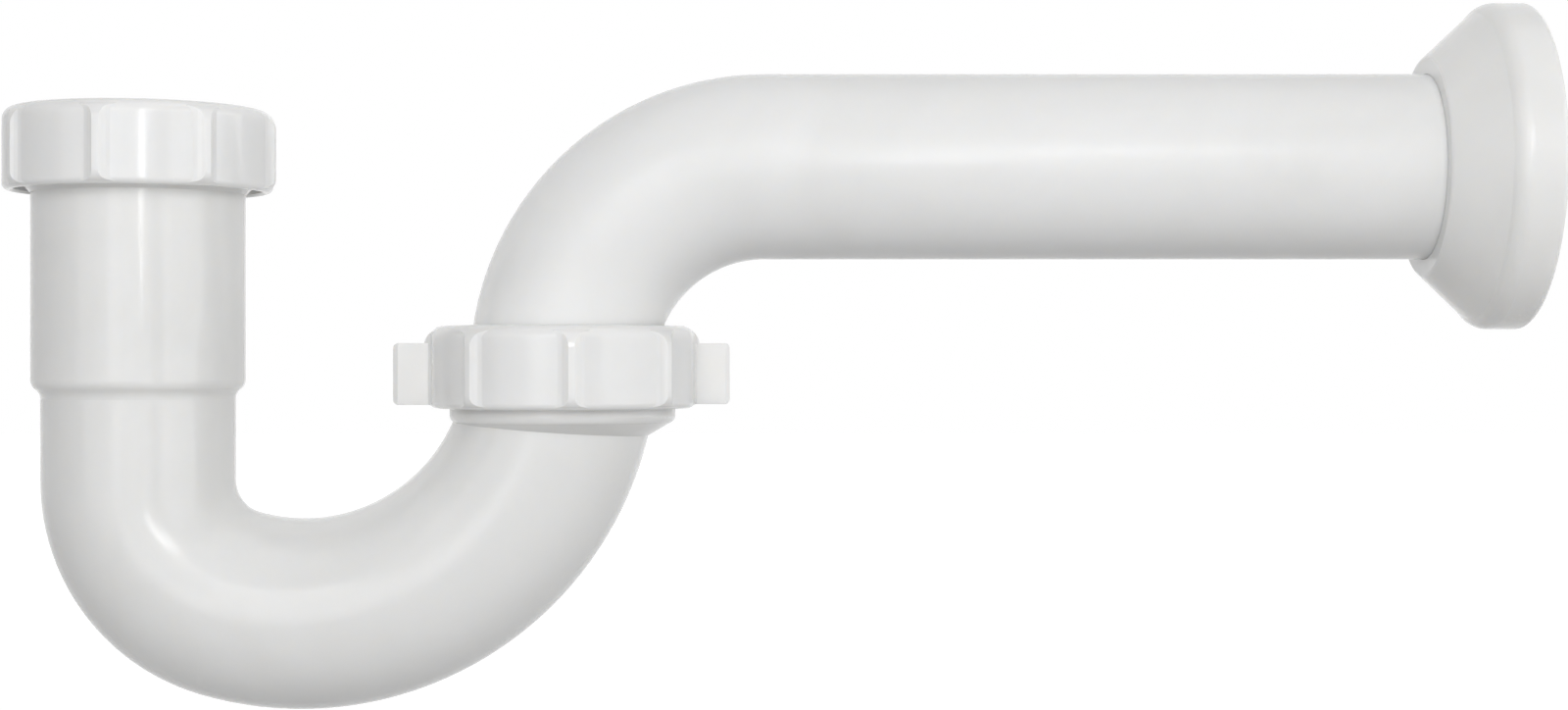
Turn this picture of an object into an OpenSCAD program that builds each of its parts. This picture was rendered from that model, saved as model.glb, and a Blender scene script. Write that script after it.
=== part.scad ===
// Tubular P-trap for a basin: J-bend, slip nut, winged union nut, swan neck and wall flange.
// Millimetres, +Z up, +X at the wall. The origin is on the inlet's axis, where the socket's bore starts
// below its sloped mouth.

/* [Outlet pipe] */
// Outer diameter of the outlet pipe, and of the tailpiece that the inlet takes
pipe_od = 32; // [30:0.5:40]
// Wall of the outlet pipe
pipe_wall = 2; // [1.5:0.1:2.5]
// Height of the outlet pipe's axis over the start of the inlet's bore
outlet_z = -1.1; // [-12:0.1:5]
// Distance from the inlet's axis to the end of the outlet pipe
outlet_reach = 239.5; // [190:0.5:400]
// Radius of the swan neck's bend at its centre line
swan_bend_r = 35; // [34:0.5:45]

/* [J-bend] */
// Outer diameter of the trap's tube
trap_od = 32.9; // [31:0.1:36]
// Wall of the trap's tube
trap_wall = 2; // [1.6:0.1:2.6]
// Radius of the large bend at its centre line
large_bend_r = 45; // [42:0.5:60]
// Radius of the knee between the leg and the large bend
knee_r = 22.1; // [18:0.1:26]
// Height of the large bend's centre over the outlet cup's mouth
bend_rise = 2; // [1:0.1:4]

/* [Inlet socket] */
// Length of the inlet's bore, down to the stop that the tailpiece meets
socket_depth = 38; // [28:1:43]
// Width and depth of the sloped mouth, which the cone washer seats on
mouth_w = 2.35; // [1.6:0.05:2.4]
// Wall of the inlet socket
socket_wall = 1.85; // [1.6:0.05:2.4]
// Radial clearance of the tailpiece in the socket
socket_gap = 0.25; // [0.15:0.05:0.4]
// Height of the rounded step from the socket down to the leg
step_h = 3.2; // [2.5:0.1:5]

/* [Outlet cup] */
// Depth of the outlet cup below its mouth
cup_depth = 8.8; // [7:0.1:12]
// Radial clearance of the spigot in the cup
cup_gap = 0.3; // [0.2:0.05:0.5]
// Height of the sloping underside below the cup
cup_taper_h = 3.6; // [2.5:0.1:6]

/* [Nuts] */
// Height of both nuts
nut_h = 14.2; // [13:0.1:18]
// Thickness of a nut's shoulder
nut_shoulder = 2.2; // [1.8:0.1:3]
// Wall outside a nut's thread
nut_wall = 1.7; // [1.4:0.1:3]
// Depth of the thread
thread_depth = 1.48; // [1:0.01:2]
// Radial clearance of the thread's crests
thread_gap = 0.12; // [0.1:0.01:0.2]
// Height of a grip rib over the nut's side
rib_h = 1.1; // [0.8:0.1:3]
// Width of a grip rib
rib_w = 2.2; // [1.6:0.1:3.5]
// Number of places for a rib round a nut
rib_count = 8; // [6:2:12]
// Turn of the inlet nut at rest
inlet_nut_turn = 42.25; // [0:0.25:45]
// Turn of the union nut at rest
union_nut_turn = 8.5; // [-10:0.5:10]

/* [Wings] */
// Distance from the union's axis to a wing's tip
wing_reach = 29.1; // [27:0.1:32]
// Height of a wing
wing_h = 10.6; // [8:0.1:11]
// Thickness of a wing
wing_t = 2.6; // [2:0.1:4]

/* [Seals] */
// Thickness of the slip ring
ring_t = 1; // [0.6:0.1:1.5]
// Height of the cone washer over the socket's mouth
washer_head = 3.2; // [2.5:0.1:4]
// Thickness of the union's flat washer
union_washer_t = 2.2; // [1.5:0.1:3]
// Thickness of the swan neck's collar
collar_t = 2.4; // [2:0.1:3]

/* [Wall flange] */
// Outer diameter of the flange's rim
flange_od = 56.3; // [52:0.1:70]
// Length of the rim's straight side
rim_w = 7; // [4:0.5:12]
// Slope of the cone from the pipe's axis
cone_slope = 43; // [38:1:50]
// Wall of the flange
flange_wall = 2.2; // [1.6:0.1:2.6]
// Length of the collar that guides the flange on the pipe
guide_len = 5; // [3.5:0.5:7]
// Radial clearance of the flange on the pipe
slide_gap = 0.06; // [0.03:0.01:0.1]

/* [Hidden] */
$fn = 48;

white = [0.92, 0.92, 0.91];
ivory = [0.86, 0.86, 0.83];
rubber = [0.16, 0.16, 0.17];

// Length that a cut runs past the face it opens
over = 1;
// Space left between two pieces that lie loosely round each other
loose = 0.3;

// Radii of the pipe, the socket and the trap's tube
pipe_r = pipe_od / 2;
pipe_bore_r = pipe_r - pipe_wall;
socket_bore_r = pipe_r + socket_gap;
socket_r = socket_bore_r + socket_wall;
mouth_r = socket_bore_r + mouth_w;
trap_r = trap_od / 2;
trap_bore_r = trap_r - trap_wall;

// The spigot is a little thicker than the pipe, so it covers the start of the bend above it
spigot_r = pipe_r + 0.3;
cup_r = spigot_r + cup_gap;

// The thread stands on a core of one size at the inlet and at the outlet
thread_core_r = max(socket_r + 1.4, mouth_r + 0.9, cup_r + 2.9);
nut_bore_r = thread_core_r + thread_depth + thread_gap;
nut_r = nut_bore_r + nut_wall;
rib_r = nut_r + rib_h;

// Heights at the inlet: washer head, slip ring and nut shoulder lie on the socket's mouth
mouth_z = mouth_w;
ring_z = mouth_z + washer_head;
inlet_nut_top = ring_z + ring_t + nut_shoulder;
inlet_nut_z = inlet_nut_top - nut_h;
// The thread on the socket ends inside the nut
thread_end_z = inlet_nut_z + 1;
// Space left between the cone washer and its seat
seat_gap = 0.03;

// Heights at the union: washer, collar and nut shoulder lie on the cup's mouth
swan_bend_z = outlet_z - swan_bend_r;
cup_mouth_z = swan_bend_z + 0.65;
collar_z = cup_mouth_z + union_washer_t;
collar_r = thread_core_r - 0.5;
union_nut_top = collar_z + collar_t + nut_shoulder;
union_nut_z = union_nut_top - nut_h;
cup_floor_z = cup_mouth_z - cup_depth;
spigot_end_z = cup_floor_z + 0.8;

// The knee runs into the large bend on a line that leans 7 across to 24 up, through both centres
lean_x = 0.28;
lean_z = 0.96;
large_bend_x = knee_r + (large_bend_r - knee_r) * lean_x;
large_bend_z = cup_mouth_z + bend_rise;
knee_z = large_bend_z - (large_bend_r - knee_r) * lean_z;
// Distance between the inlet's axis and the union's axis
leg_spacing = large_bend_x + large_bend_r;

// The bend passes the nut's shoulder off its axis: widest reach of the pipe inside the hole
neck_rise = union_nut_top - swan_bend_z;
neck_reach = swan_bend_r - sqrt((swan_bend_r - pipe_r) ^ 2 - neck_rise ^ 2);
union_hole_r = neck_reach + loose;

// Flange, measured along the pipe from its small end
flange_bore_r = pipe_r + slide_gap;
flange_r = flange_od / 2;
flange_small_r = flange_bore_r + flange_wall / cos(cone_slope);
cone_len = (flange_r - flange_small_r) / tan(cone_slope);
flange_len = cone_len + rim_w;
rim_corner_r = 3.5;
guide_r = flange_bore_r + 1.6;

// Pipe bent in the XZ plane round a centre, from an angle over +X through a sweep
module bent_tube(centre_x, centre_z, bend_r, tube_r, from, sweep) {
    translate([centre_x, 0, centre_z])
        rotate([90, 0, 0])
            rotate_extrude(angle = sweep, start = from)
                translate([bend_r, 0])
                    circle(r = tube_r);
}

// All that lies on one side of the line from the large bend's centre through the knee's centre:
// the knee's side for -1, the large bend's side for 1
module beside_the_lean(side) {
    far_up = 1;
    far_down = 100;
    rotate([90, 0, 0])
        linear_extrude(height = 4 * trap_od, center = true)
            polygon([
                [large_bend_x + far_up * lean_x, large_bend_z + far_up * lean_z],
                [large_bend_x + side * far_down, large_bend_z + far_up * lean_z],
                [large_bend_x + side * far_down, large_bend_z - far_down * lean_z],
                [large_bend_x - far_down * lean_x, large_bend_z - far_down * lean_z]
            ]);
}

// The knee and the large bend as one tube
module low_bends(tube_r) {
    // The large bend starts before the line, and ends inside the cup before it stands upright
    early = 25;
    stop = 10;
    intersection() {
        bent_tube(knee_r, knee_z, knee_r, tube_r, 180, 90);
        beside_the_lean(-1);
    }
    intersection() {
        bent_tube(large_bend_x, large_bend_z, large_bend_r, tube_r, -90 - early, 90 + early - stop);
        beside_the_lean(1);
    }
}

// Half section of a disc with a rounded top edge and a rounded bottom edge
module rounded_section(r, h, top_r, bottom_r) {
    translate([0, bottom_r])
        square([r, h - top_r - bottom_r]);
    square([r - bottom_r, h - top_r]);
    square([r - top_r, h]);
    translate([r - top_r, h - top_r])
        circle(r = top_r);
    translate([r - bottom_r, bottom_r])
        circle(r = bottom_r);
}

// Half section of a ring with rounded outer edges, for the outside of ribs and wings
module outer_section(r, low_z, top_z, top_r, bottom_r) {
    translate([0, low_z])
        rounded_section(r, top_z - low_z, top_r, bottom_r);
}

// Outline of a radial plate from inside the nut's wall out to a tip with cut corners
module plate_outline(tip_r, width, corner) {
    polygon([
        [pipe_r, width / 2],
        [pipe_r, -width / 2],
        [tip_r - corner, -width / 2],
        [tip_r, corner - width / 2],
        [tip_r, width / 2 - corner],
        [tip_r - corner, width / 2]
    ]);
}

// Outline of one rib: hollow feet run up to the flanks, and the crest has cut corners
module rib_outline() {
    crest = rib_w / 2;
    // Height where the flank starts, and height of the cut at the crest
    flank_h = 0.45 * rib_h;
    cut = 0.45;
    half = [
        [nut_r - 0.5, crest + 2],
        [nut_r + 0.35 * flank_h, crest + 0.45],
        [nut_r + flank_h, crest + 0.05],
        [rib_r - cut, crest - 0.15],
        [rib_r + 0.1, crest - 0.65]
    ];
    polygon(concat(
        [[pipe_r, crest]],
        half,
        [for (i = [len(half) - 1 : -1 : 0]) [half[i][0], -half[i][1]]],
        [[pipe_r, -crest]]
    ));
}

// Round body of a nut with its ribs
module nut_body() {
    // Ribs stop this far from the nut's end faces
    inset = 0.3;
    rotate_extrude()
        rounded_section(nut_r, nut_h, 2.2, 1.1);
    intersection() {
        linear_extrude(height = nut_h)
            for (i = [0 : rib_count - 1])
                rotate(i * 360 / rib_count)
                    rib_outline();
        rotate_extrude()
            outer_section(rib_r, inset, nut_h - inset, 3.4, 2);
    }
}

// Thread space and shoulder hole of a nut, with a lead-in and a chamfered top edge
module nut_hollow(hole_r) {
    lead = 0.4;
    edge = 0.5;
    translate([0, 0, -over])
        cylinder(r = nut_bore_r, h = nut_h - nut_shoulder + over);
    translate([0, 0, -over])
        cylinder(r1 = nut_bore_r + lead + over, r2 = nut_bore_r, h = lead + over);
    cylinder(r = hole_r, h = nut_h + over);
    translate([0, 0, nut_h - edge])
        cylinder(r1 = hole_r, r2 = hole_r + edge + over, h = edge + over);
}

// Rounded step: bulges under the wider tube, then runs out hollow on the narrower one
module step_section(wide_r, narrow_r, top_z, h) {
    drop = wide_r - narrow_r;
    curve_r = (drop ^ 2 + h ^ 2) / (4 * drop);
    bottom_z = top_z - h;
    difference() {
        union() {
            polygon([
                [0, top_z],
                [wide_r, top_z],
                [wide_r - drop / 2, top_z - h / 2],
                [narrow_r, bottom_z],
                [0, bottom_z]
            ]);
            intersection() {
                translate([wide_r - curve_r, top_z])
                    circle(r = curve_r);
                translate([0, top_z - h / 2])
                    square([wide_r, h / 2]);
            }
        }
        translate([narrow_r + curve_r, bottom_z])
            circle(r = curve_r - 0.01);
    }
}

// Outside of the inlet socket: thread core, plain socket and the step down to the leg
module inlet_socket() {
    edge = 0.5;
    step_z = -socket_depth;
    rotate_extrude() {
        polygon([
            [0, mouth_z],
            [thread_core_r - edge, mouth_z],
            [thread_core_r, mouth_z - edge],
            [thread_core_r, thread_end_z],
            [socket_r, thread_end_z - (thread_core_r - socket_r)],
            [socket_r, step_z],
            [0, step_z]
        ]);
        step_section(socket_r, trap_r, step_z, step_h);
    }
}

// Outside of the outlet cup, round the union's axis: thread core, rounded ring and sloping underside
module outlet_cup() {
    edge = 0.5;
    ring_r = 1.3;
    round_z = cup_floor_z + 0.1;
    turn = 50;
    rotate_extrude() {
        polygon([
            [0, cup_mouth_z],
            [thread_core_r - edge, cup_mouth_z],
            [thread_core_r, cup_mouth_z - edge],
            [thread_core_r, round_z],
            [thread_core_r - ring_r * (1 - cos(turn)), round_z - ring_r * sin(turn)],
            [trap_bore_r, cup_floor_z - cup_taper_h],
            [0, cup_floor_z - cup_taper_h]
        ]);
        translate([thread_core_r - ring_r, round_z])
            circle(r = ring_r, $fn = 24);
    }
}

module j_bend() {
    color(white)
        difference() {
            union() {
                inlet_socket();
                translate([0, 0, knee_z])
                    cylinder(r = trap_r, h = -socket_depth - step_h - knee_z);
                low_bends(trap_r);
                translate([leg_spacing, 0, 0])
                    outlet_cup();
            }
            // Socket, its sloped mouth and the sloped stop at its bottom
            translate([0, 0, -socket_depth])
                cylinder(r = socket_bore_r, h = socket_depth + mouth_z + over);
            cylinder(r1 = socket_bore_r, r2 = mouth_r, h = mouth_z);
            translate([0, 0, -socket_depth - (socket_bore_r - trap_bore_r) / 2])
                cylinder(r1 = trap_bore_r, r2 = socket_bore_r, h = (socket_bore_r - trap_bore_r) / 2);
            // Waterway
            translate([0, 0, knee_z])
                cylinder(r = trap_bore_r, h = -socket_depth - knee_z);
            low_bends(trap_bore_r);
            // Cup that the swan neck's spigot turns in
            translate([leg_spacing, 0, cup_floor_z])
                cylinder(r = cup_r, h = cup_depth + over);
        }
}

module inlet_nut() {
    color(white)
        translate([0, 0, inlet_nut_z])
            rotate(inlet_nut_turn)
                difference() {
                    nut_body();
                    nut_hollow(pipe_r + 0.6);
                }
}

// Thin ring under the shoulder, so that the turning nut doesn't drag the washer round
module slip_ring() {
    edge = 0.2;
    inner_r = pipe_r + 0.4;
    outer_r = nut_bore_r - 0.6;
    color(ivory)
        rotate_extrude()
            polygon([
                [inner_r, ring_z],
                [outer_r - edge, ring_z],
                [outer_r, ring_z + edge],
                [outer_r, ring_z + ring_t],
                [inner_r, ring_z + ring_t]
            ]);
}

// Its lower face has the slope of the socket's mouth
module cone_washer() {
    edge = 0.3;
    inner_r = socket_bore_r + 0.05;
    outer_r = mouth_r + 0.5;
    slope_top = mouth_z + outer_r - mouth_r + seat_gap;
    color(rubber)
        rotate_extrude()
            polygon([
                [inner_r, ring_z],
                [outer_r - edge, ring_z],
                [outer_r, ring_z - edge],
                [outer_r, slope_top],
                [inner_r + edge, slope_top - (outer_r - inner_r - edge)],
                [inner_r, slope_top - (outer_r - inner_r - edge)]
            ]);
}

// Flat radial wing, lower than the nut, on one of its ribs
module wing() {
    low = 0.6;
    corner = 0.9;
    intersection() {
        linear_extrude(height = nut_h)
            plate_outline(wing_reach + 0.1, wing_t, corner);
        rotate_extrude()
            outer_section(wing_reach, low, low + wing_h, corner, corner);
    }
}

module union_nut() {
    color(white)
        translate([leg_spacing, 0, union_nut_z])
            rotate(union_nut_turn)
                difference() {
                    union() {
                        nut_body();
                        for (side = [0, 180])
                            rotate(side)
                                wing();
                    }
                    nut_hollow(union_hole_r);
                }
}

module union_washer() {
    color(rubber)
        translate([leg_spacing, 0, cup_mouth_z])
            difference() {
                cylinder(r = collar_r, h = union_washer_t);
                translate([0, 0, -over])
                    cylinder(r = spigot_r + loose, h = union_washer_t + 2 * over);
            }
}

module swan_neck() {
    edge = 0.6;
    color(white)
        difference() {
            union() {
                // Spigot with a leading edge, and the collar that the union nut presses down
                translate([leg_spacing, 0, 0]) {
                    translate([0, 0, spigot_end_z])
                        cylinder(r1 = spigot_r - edge, r2 = spigot_r, h = edge);
                    translate([0, 0, spigot_end_z + edge])
                        cylinder(r = spigot_r, h = collar_z - spigot_end_z - edge);
                    translate([0, 0, collar_z])
                        cylinder(r = collar_r, h = collar_t);
                }
                bent_tube(leg_spacing + swan_bend_r, swan_bend_z, swan_bend_r, pipe_r, 90, 90);
                translate([leg_spacing + swan_bend_r, 0, outlet_z])
                    rotate([0, 90, 0])
                        cylinder(r = pipe_r, h = outlet_reach - leg_spacing - swan_bend_r - edge);
                translate([outlet_reach - edge, 0, outlet_z])
                    rotate([0, 90, 0])
                        cylinder(r1 = pipe_r, r2 = pipe_r - edge, h = edge);
            }
            // Waterway
            translate([leg_spacing, 0, spigot_end_z - over])
                cylinder(r = pipe_bore_r, h = swan_bend_z - spigot_end_z + over);
            bent_tube(leg_spacing + swan_bend_r, swan_bend_z, swan_bend_r, pipe_bore_r, 90, 90);
            translate([leg_spacing + swan_bend_r, 0, outlet_z])
                rotate([0, 90, 0])
                    cylinder(r = pipe_bore_r, h = outlet_reach - leg_spacing - swan_bend_r + over);
        }
}

// Conical shell on the pipe, its rim against the wall
module wall_flange() {
    lip = 0.4;
    rim_z = flange_len - rim_w;
    bend = rim_corner_r * tan(cone_slope / 2);
    hollow_r = flange_r - flange_wall;
    back_r = 1;
    color(white)
        translate([outlet_reach - flange_len, 0, outlet_z])
            rotate([0, 90, 0])
                rotate_extrude()
                    difference() {
                        union() {
                            polygon([
                                [0, 0],
                                [flange_small_r - lip, 0],
                                [flange_small_r, lip * 0.5],
                                [flange_small_r + lip * tan(cone_slope), lip * 1.5],
                                [flange_r - bend * sin(cone_slope), rim_z - bend * cos(cone_slope) + lip * 0.5],
                                [flange_r, rim_z + bend],
                                [flange_r, flange_len - back_r],
                                [flange_r - back_r, flange_len],
                                [0, flange_len]
                            ]);
                            translate([flange_r - rim_corner_r, rim_z + bend])
                                circle(r = rim_corner_r);
                            translate([flange_r - back_r, flange_len - back_r])
                                circle(r = back_r);
                        }
                        // Hollow behind the cone, round the guide collar
                        polygon([
                            [guide_r, (guide_r - flange_bore_r) / tan(cone_slope)],
                            [hollow_r, (hollow_r - flange_bore_r) / tan(cone_slope)],
                            [hollow_r, flange_len + over],
                            [0, flange_len + over],
                            [0, guide_len],
                            [guide_r, guide_len]
                        ]);
                        translate([0, -over])
                            square([flange_bore_r, flange_len + 2 * over]);
                    }
}

j_bend();
inlet_nut();
slip_ring();
cone_washer();
union_nut();
union_washer();
swan_neck();
wall_flange();
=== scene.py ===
import math
import bmesh
import bpy
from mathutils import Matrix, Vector


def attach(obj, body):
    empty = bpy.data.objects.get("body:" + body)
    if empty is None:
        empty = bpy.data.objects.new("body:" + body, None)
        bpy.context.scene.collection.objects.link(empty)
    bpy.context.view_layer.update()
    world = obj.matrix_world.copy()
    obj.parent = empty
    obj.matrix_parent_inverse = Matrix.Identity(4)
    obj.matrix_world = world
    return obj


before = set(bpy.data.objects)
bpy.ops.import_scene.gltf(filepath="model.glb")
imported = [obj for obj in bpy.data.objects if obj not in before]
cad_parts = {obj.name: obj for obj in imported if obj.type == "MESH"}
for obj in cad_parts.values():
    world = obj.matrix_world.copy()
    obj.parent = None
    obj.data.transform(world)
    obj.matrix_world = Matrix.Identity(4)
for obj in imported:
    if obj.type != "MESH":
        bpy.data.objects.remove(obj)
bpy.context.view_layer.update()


# The camera stands square to the plane that the pipes lie in, level with the trap's middle.
# It is a short telephoto, about 430 mm away, so the nuts show a little of their tops and undersides.
camera_data = bpy.data.cameras.new("camera")
camera_data.sensor_width = 36
camera_data.lens = 57.38
camera_data.clip_start = 0.02
camera_data.clip_end = 20
camera = bpy.data.objects.new("camera", camera_data)
camera.location = (0.11186, -0.4335, -0.03369)
camera.rotation_euler = (math.radians(90), 0, 0)
bpy.context.scene.collection.objects.link(camera)
bpy.context.scene.camera = camera


# The studio is a wide white sheet under the trap, white all round. Two soft boxes stand by the camera, two
# weaker ones to its right, and one hangs overhead.
bpy.context.scene.view_settings.view_transform = "Standard"

floor_z = -0.24
floor_mesh = bpy.data.meshes.new("floor")
floor_mesh.from_pydata([(-6, -6, floor_z), (6, -6, floor_z), (6, 6, floor_z), (-6, 6, floor_z)], [], [(0, 1, 2, 3)])
floor = bpy.data.objects.new("floor", floor_mesh)
bpy.context.scene.collection.objects.link(floor)
paper = bpy.data.materials.new("white paper sheet")
paper.use_nodes = True
shader = paper.node_tree.nodes["Principled BSDF"]
shader.inputs["Base Color"].default_value = (0.42, 0.42, 0.42, 1)
shader.inputs["Roughness"].default_value = 0.9
seen = paper.node_tree.nodes.new("ShaderNodeLightPath")
seen_or_mirrored = paper.node_tree.nodes.new("ShaderNodeMath")
seen_or_mirrored.operation = "MAXIMUM"
glow = paper.node_tree.nodes.new("ShaderNodeMath")
glow.operation = "MULTIPLY"
spot = paper.node_tree.nodes.new("ShaderNodeTexCoord")
far = paper.node_tree.nodes.new("ShaderNodeVectorMath")
far.operation = "LENGTH"
evened = paper.node_tree.nodes.new("ShaderNodeMapRange")
evened.inputs["From Min"].default_value = 0.3
evened.inputs["From Max"].default_value = 1.6
evened.inputs["To Min"].default_value = 0.68
evened.inputs["To Max"].default_value = 0.88
paper.node_tree.links.new(spot.outputs["Object"], far.inputs[0])
paper.node_tree.links.new(far.outputs["Value"], evened.inputs["Value"])
paper.node_tree.links.new(evened.outputs["Result"], glow.inputs[1])
paper.node_tree.links.new(seen.outputs["Is Camera Ray"], seen_or_mirrored.inputs[0])
paper.node_tree.links.new(seen.outputs["Is Glossy Ray"], seen_or_mirrored.inputs[1])
paper.node_tree.links.new(seen_or_mirrored.outputs[0], glow.inputs[0])
shader.inputs["Emission Color"].default_value = (1, 1, 1, 1)
paper.node_tree.links.new(glow.outputs[0], shader.inputs["Emission Strength"])
floor_mesh.materials.append(paper)

world = bpy.data.worlds.new("white studio")
bpy.context.scene.world = world
world.use_nodes = True
air = world.node_tree
air.nodes.clear()
seen = air.nodes.new("ShaderNodeLightPath")
seen_or_mirrored = air.nodes.new("ShaderNodeMath")
seen_or_mirrored.operation = "MAXIMUM"
either = air.nodes.new("ShaderNodeMath")
either.operation = "MAXIMUM"
way = air.nodes.new("ShaderNodeTexCoord")
toward_bright_end = air.nodes.new("ShaderNodeVectorMath")
toward_bright_end.operation = "DOT_PRODUCT"
toward_bright_end.inputs[1].default_value = (0, 1.25, 0)
walls = air.nodes.new("ShaderNodeMath")
walls.operation = "MAXIMUM"
walls.inputs[1].default_value = 0.02
room = air.nodes.new("ShaderNodeBackground")
room.inputs["Color"].default_value = (1, 1, 1, 1)
backdrop = air.nodes.new("ShaderNodeBackground")
backdrop.inputs["Color"].default_value = (1, 1, 1, 1)
backdrop.inputs["Strength"].default_value = 1
choose = air.nodes.new("ShaderNodeMixShader")
out = air.nodes.new("ShaderNodeOutputWorld")
air.links.new(seen.outputs["Is Camera Ray"], seen_or_mirrored.inputs[0])
air.links.new(seen.outputs["Is Glossy Ray"], seen_or_mirrored.inputs[1])
air.links.new(seen_or_mirrored.outputs[0], either.inputs[0])
air.links.new(seen.outputs["Is Transmission Ray"], either.inputs[1])
air.links.new(way.outputs["Generated"], toward_bright_end.inputs[0])
air.links.new(toward_bright_end.outputs["Value"], walls.inputs[0])
air.links.new(walls.outputs[0], room.inputs["Strength"])
air.links.new(either.outputs[0], choose.inputs[0])
air.links.new(room.outputs[0], choose.inputs[1])
air.links.new(backdrop.outputs[0], choose.inputs[2])
air.links.new(choose.outputs[0], out.inputs[0])


def soft_box(name, place, width, height, watts):
    lamp = bpy.data.lights.new(name, "AREA")
    lamp.shape = "RECTANGLE"
    lamp.size = width
    lamp.size_y = height
    lamp.energy = watts
    box = bpy.data.objects.new(name, lamp)
    box.location = place
    box.rotation_euler = (Vector((0.11, 0, -0.035)) - Vector(place)).to_track_quat("-Z", "Y").to_euler()
    bpy.context.scene.collection.objects.link(box)


soft_box("large soft box behind the camera", (0.11, -1.182, 0.173), 1, 1, 3.3)
soft_box("large soft box on the left", (-0.534, -0.991, 0.173), 1, 1, 3.1)
soft_box("wide soft box on the right", (1.25, -0.31, 0.173), 1.9, 0.8, 7.2)
soft_box("large soft box overhead", (0.11, -0.208, 1.147), 1.2, 1.2, 2.8)
soft_box("small lamp over the camera", (0.11, -0.41, 0.252), 0.3, 0.3, 0.25)
soft_box("small lamp left of the camera", (-0.029, -0.52, 0.079), 0.3, 0.3, 0.22)
soft_box("upright strip lamp on the right", (0.172, -0.575, 0.058), 0.05, 0.12, 0.19)
soft_box("small lamp right of the camera", (0.251, -0.664, 0.18), 0.15, 0.15, 0.34)


# The J-bend is one injection moulding in white polypropylene: inlet socket, leg, knee, large bend and
# outlet cup. The mould halves part in the plane of the pipe, and leave a fine line along it.
# Both threads are moulded on, in the same pitch as the nuts'.
def moulded_white(name, pale, deep, parting=None, grain=1.0, gloss=0.45, shine=0.1):
    plastic = bpy.data.materials.new(name)
    plastic.use_nodes = True
    nodes, links = plastic.node_tree.nodes, plastic.node_tree.links
    shader = nodes["Principled BSDF"]
    shader.inputs["IOR"].default_value = 1.49
    shader.inputs["Specular IOR Level"].default_value = gloss
    shader.inputs["Subsurface Weight"].default_value = 0.5
    shader.inputs["Subsurface Radius"].default_value = (1.0, 0.92, 0.8)
    shader.inputs["Subsurface Scale"].default_value = 0.003
    place = nodes.new("ShaderNodeTexCoord")

    # Pigment: slightly uneven where the melt flowed
    cloudy = nodes.new("ShaderNodeTexNoise")
    cloudy.inputs["Scale"].default_value = 38
    cloudy.inputs["Detail"].default_value = 3
    cloudy.inputs["Distortion"].default_value = 0.8
    links.new(place.outputs["Object"], cloudy.inputs["Vector"])
    tint = nodes.new("ShaderNodeValToRGB")
    tint.color_ramp.elements[0].position = 0.3
    tint.color_ramp.elements[0].color = deep
    tint.color_ramp.elements[1].position = 0.7
    tint.color_ramp.elements[1].color = pale
    links.new(cloudy.outputs["Fac"], tint.inputs["Fac"])
    links.new(tint.outputs["Color"], shader.inputs["Base Color"])

    # Sheen: handling has dulled it in patches
    dull = nodes.new("ShaderNodeTexNoise")
    dull.inputs["Scale"].default_value = 120
    dull.inputs["Detail"].default_value = 6
    links.new(place.outputs["Object"], dull.inputs["Vector"])
    sheen = nodes.new("ShaderNodeMapRange")
    sheen.inputs["From Min"].default_value = 0.3
    sheen.inputs["From Max"].default_value = 0.7
    sheen.inputs["To Min"].default_value = shine
    sheen.inputs["To Max"].default_value = shine + 0.075
    links.new(dull.outputs["Fac"], sheen.inputs["Value"])
    links.new(sheen.outputs["Result"], shader.inputs["Roughness"])

    # Skin: slow waves from cooling under a fine grain
    waves = nodes.new("ShaderNodeTexNoise")
    waves.inputs["Scale"].default_value = 90
    waves.inputs["Detail"].default_value = 1
    links.new(place.outputs["Object"], waves.inputs["Vector"])
    slow = nodes.new("ShaderNodeBump")
    slow.inputs["Strength"].default_value = 0.5
    slow.inputs["Distance"].default_value = 0.00006
    links.new(waves.outputs["Fac"], slow.inputs["Height"])
    peel = nodes.new("ShaderNodeTexNoise")
    peel.inputs["Scale"].default_value = 900
    peel.inputs["Detail"].default_value = 2
    links.new(place.outputs["Object"], peel.inputs["Vector"])
    skin = nodes.new("ShaderNodeBump")
    skin.inputs["Strength"].default_value = 0.12 * grain
    skin.inputs["Distance"].default_value = 0.0001
    links.new(peel.outputs["Fac"], skin.inputs["Height"])
    links.new(slow.outputs["Normal"], skin.inputs["Normal"])
    last = skin

    if parting is not None:
        # A ridge 0.4 mm wide, where the plane of the mould's halves cuts the surface
        axis, at = parting
        split = nodes.new("ShaderNodeSeparateXYZ")
        links.new(place.outputs["Object"], split.inputs[0])
        off = nodes.new("ShaderNodeMath")
        off.operation = "SUBTRACT"
        off.inputs[1].default_value = at
        links.new(split.outputs[axis], off.inputs[0])
        away = nodes.new("ShaderNodeMath")
        away.operation = "ABSOLUTE"
        links.new(off.outputs[0], away.inputs[0])
        ridge = nodes.new("ShaderNodeMapRange")
        ridge.interpolation_type = "SMOOTHSTEP"
        ridge.inputs["From Min"].default_value = 0
        ridge.inputs["From Max"].default_value = 0.0002
        ridge.inputs["To Min"].default_value = 1
        ridge.inputs["To Max"].default_value = 0
        links.new(away.outputs[0], ridge.inputs["Value"])
        line = nodes.new("ShaderNodeBump")
        line.inputs["Strength"].default_value = 0.6
        line.inputs["Distance"].default_value = 0.00012
        links.new(ridge.outputs["Result"], line.inputs["Height"])
        links.new(skin.outputs["Normal"], line.inputs["Normal"])
        last = line
    links.new(last.outputs["Normal"], shader.inputs["Normal"])
    return plastic


def dress(node, material):
    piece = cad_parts[node]
    piece.data.materials.clear()
    piece.data.materials.append(material)
    return piece


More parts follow.
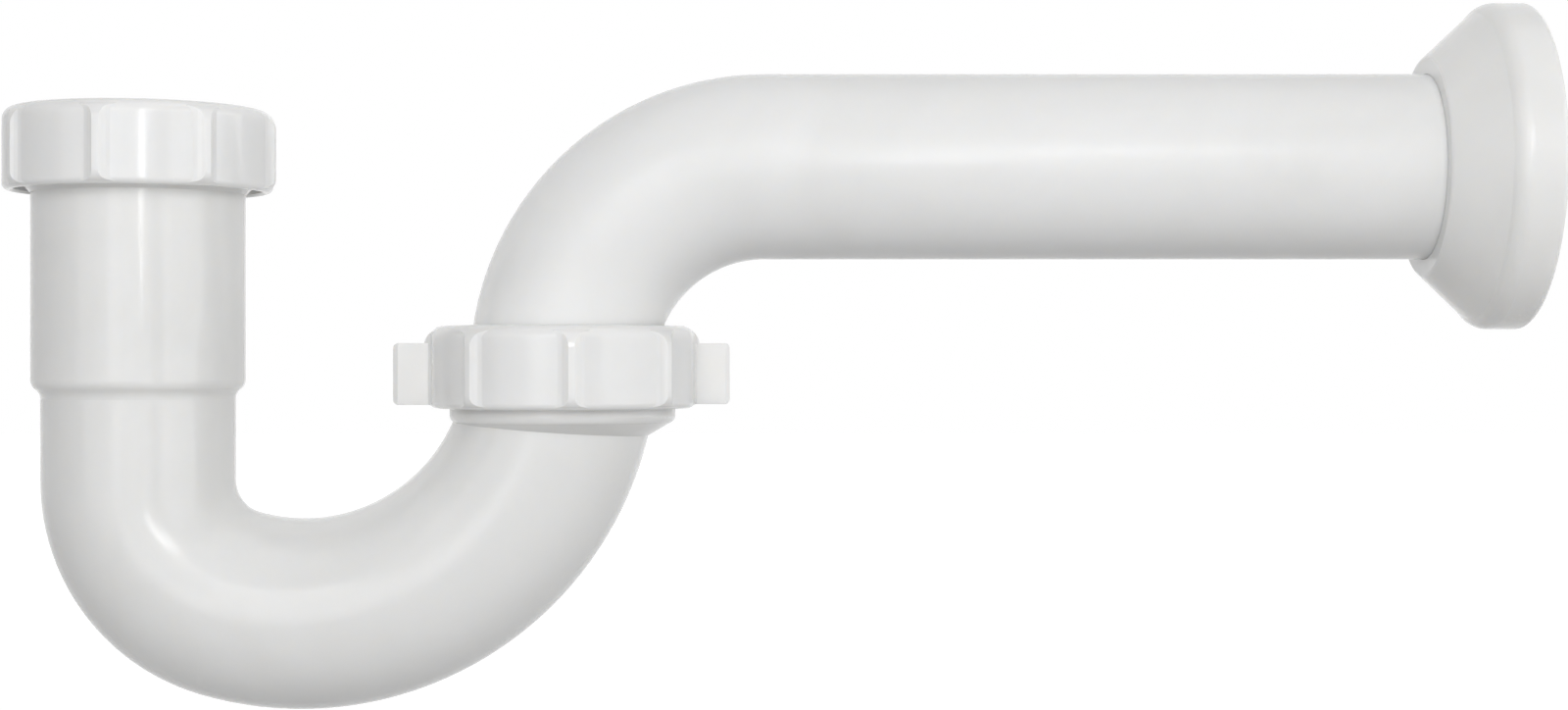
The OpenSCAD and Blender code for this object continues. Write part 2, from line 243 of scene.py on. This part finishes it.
bend_plastic = moulded_white("moulded white polypropylene", (0.84, 0.838, 0.827, 1), (0.80, 0.798, 0.785, 1), parting=("Y", 0.0), gloss=0.36)
dress("j_bend", bend_plastic)

thread_pitch = 0.002309


def thread(name, centre_x, low_z, high_z, root_r, crest_r, phase, material, body):
    """A helical ridge, thin at both ends, whose height over the core follows the turn."""
    steps = 96
    turns = (high_z - low_z) / thread_pitch
    count = int(turns * steps)
    half_foot, half_crest = 0.00086, 0.00024
    sunk = -0.00006 if crest_r > root_r else 0.00006
    rows, faces = [], []
    for i in range(count + 1):
        angle = 2 * math.pi * i / steps + phase
        z = low_z + thread_pitch * i / steps
        fade = min(1, i / 18, (count - i) / 18)
        crest = root_r + (crest_r - root_r) * fade
        row = [(root_r + sunk, -half_foot), (root_r + (crest - root_r) * 0.82, -half_crest * 1.7), (crest, -half_crest * 0.6),
               (crest, half_crest * 0.6), (root_r + (crest - root_r) * 0.82, half_crest * 1.7), (root_r + sunk, half_foot)]
        rows += [(centre_x + r * math.cos(angle), r * math.sin(angle), z + dz) for r, dz in row]
    for i in range(count):
        for k in range(6):
            a, b = i * 6 + k, i * 6 + (k + 1) % 6
            face = (a, a + 6, b + 6, b)
            faces.append(face if crest_r > root_r else face[::-1])
    faces += [tuple(range(6)), tuple(range(count * 6 + 5, count * 6 - 1, -1))]
    mesh = bpy.data.meshes.new(name)
    mesh.from_pydata(rows, [], faces)
    mesh.validate()
    shape = bmesh.new()
    shape.from_mesh(mesh)
    bmesh.ops.recalc_face_normals(shape, faces=shape.faces)
    shape.to_mesh(mesh)
    shape.free()
    mesh.materials.append(material)
    for p in mesh.polygons:
        p.use_smooth = True
    ridge = bpy.data.objects.new(name, mesh)
    bpy.context.scene.collection.objects.link(ridge)
    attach(ridge, body)
    return ridge


union_x = 0.073512
thread("thread_on_inlet_socket", 0, -0.0034, 0.0012, 0.0195, 0.0209, 0, bend_plastic, "bend")
thread("thread_on_outlet_cup", union_x, -0.0424, -0.0366, 0.0195, 0.0209, 0, bend_plastic, "bend")


# The cone washer is black rubber. Its lower face sits on the sloped mouth of the socket and grips the
# tailpiece when the nut is tightened.
def rubber(name):
    black = bpy.data.materials.new(name)
    black.use_nodes = True
    nodes, links = black.node_tree.nodes, black.node_tree.links
    shader = nodes["Principled BSDF"]
    place = nodes.new("ShaderNodeTexCoord")
    bloom = nodes.new("ShaderNodeTexNoise")
    bloom.inputs["Scale"].default_value = 220
    bloom.inputs["Detail"].default_value = 6
    links.new(place.outputs["Object"], bloom.inputs["Vector"])
    shade = nodes.new("ShaderNodeValToRGB")
    shade.color_ramp.elements[0].color = (0.016, 0.016, 0.017, 1)
    shade.color_ramp.elements[1].color = (0.045, 0.045, 0.047, 1)
    links.new(bloom.outputs["Fac"], shade.inputs["Fac"])
    links.new(shade.outputs["Color"], shader.inputs["Base Color"])
    shader.inputs["Roughness"].default_value = 0.62
    fine = nodes.new("ShaderNodeTexNoise")
    fine.inputs["Scale"].default_value = 1500
    links.new(place.outputs["Object"], fine.inputs["Vector"])
    pores = nodes.new("ShaderNodeBump")
    pores.inputs["Strength"].default_value = 0.25
    pores.inputs["Distance"].default_value = 0.0001
    links.new(fine.outputs["Fac"], pores.inputs["Height"])
    links.new(pores.outputs["Normal"], shader.inputs["Normal"])
    return black


seal_rubber = rubber("black seal rubber")
dress("cone_washer", seal_rubber)


# The slip ring is a thin ivory washer in hard plastic. It lies between nut and rubber, so that the nut
# turns without twisting the seal.
ring_plastic = moulded_white("ivory slip ring plastic", (0.72, 0.70, 0.64, 1), (0.66, 0.64, 0.57, 1), grain=0.6)
dress("slip_ring", ring_plastic)


# The inlet nut is a round moulding with eight grip ribs, in the same white plastic as the trap.
nut_plastic = moulded_white("moulded white nut plastic", (0.866, 0.864, 0.856, 1), (0.826, 0.824, 0.815, 1))
dress("inlet_nut", nut_plastic)
in_the_groove = 2 * math.pi * ((-0.0041 + 0.0034) / thread_pitch - 0.5)
thread("thread_in_inlet_nut", 0, -0.0041, 0.0050, 0.0211, 0.0199, in_the_groove, nut_plastic, "inlet_nut")


# The flat washer between the cup's mouth and the swan neck's collar is the same black rubber.
dress("union_washer", seal_rubber)


# The union nut has the inlet nut's body and ribs, and two flat wings to turn it by hand.
dress("union_nut", nut_plastic)
in_the_groove = 2 * math.pi * ((-0.0415 + 0.0424) / thread_pitch - 0.5)
thread("thread_in_union_nut", union_x, -0.0415, -0.0324, 0.0211, 0.0199, in_the_groove, nut_plastic, "union_nut")


# The swan neck is a bent length of smooth white pipe, with a collar and a spigot at its lower end.
pipe_plastic = moulded_white("smooth white pipe plastic", (0.905, 0.903, 0.892, 1), (0.865, 0.863, 0.851, 1), grain=0.5, gloss=0.24, shine=0.17)
dress("swan_neck", pipe_plastic)


# The wall flange is a thin moulded cone that slides on the pipe and hides the hole in the wall.
flange_plastic = moulded_white("moulded white flange plastic", (0.877, 0.876, 0.866, 1), (0.837, 0.836, 0.825, 1), grain=0.7, gloss=0.35)
dress("wall_flange", flange_plastic)
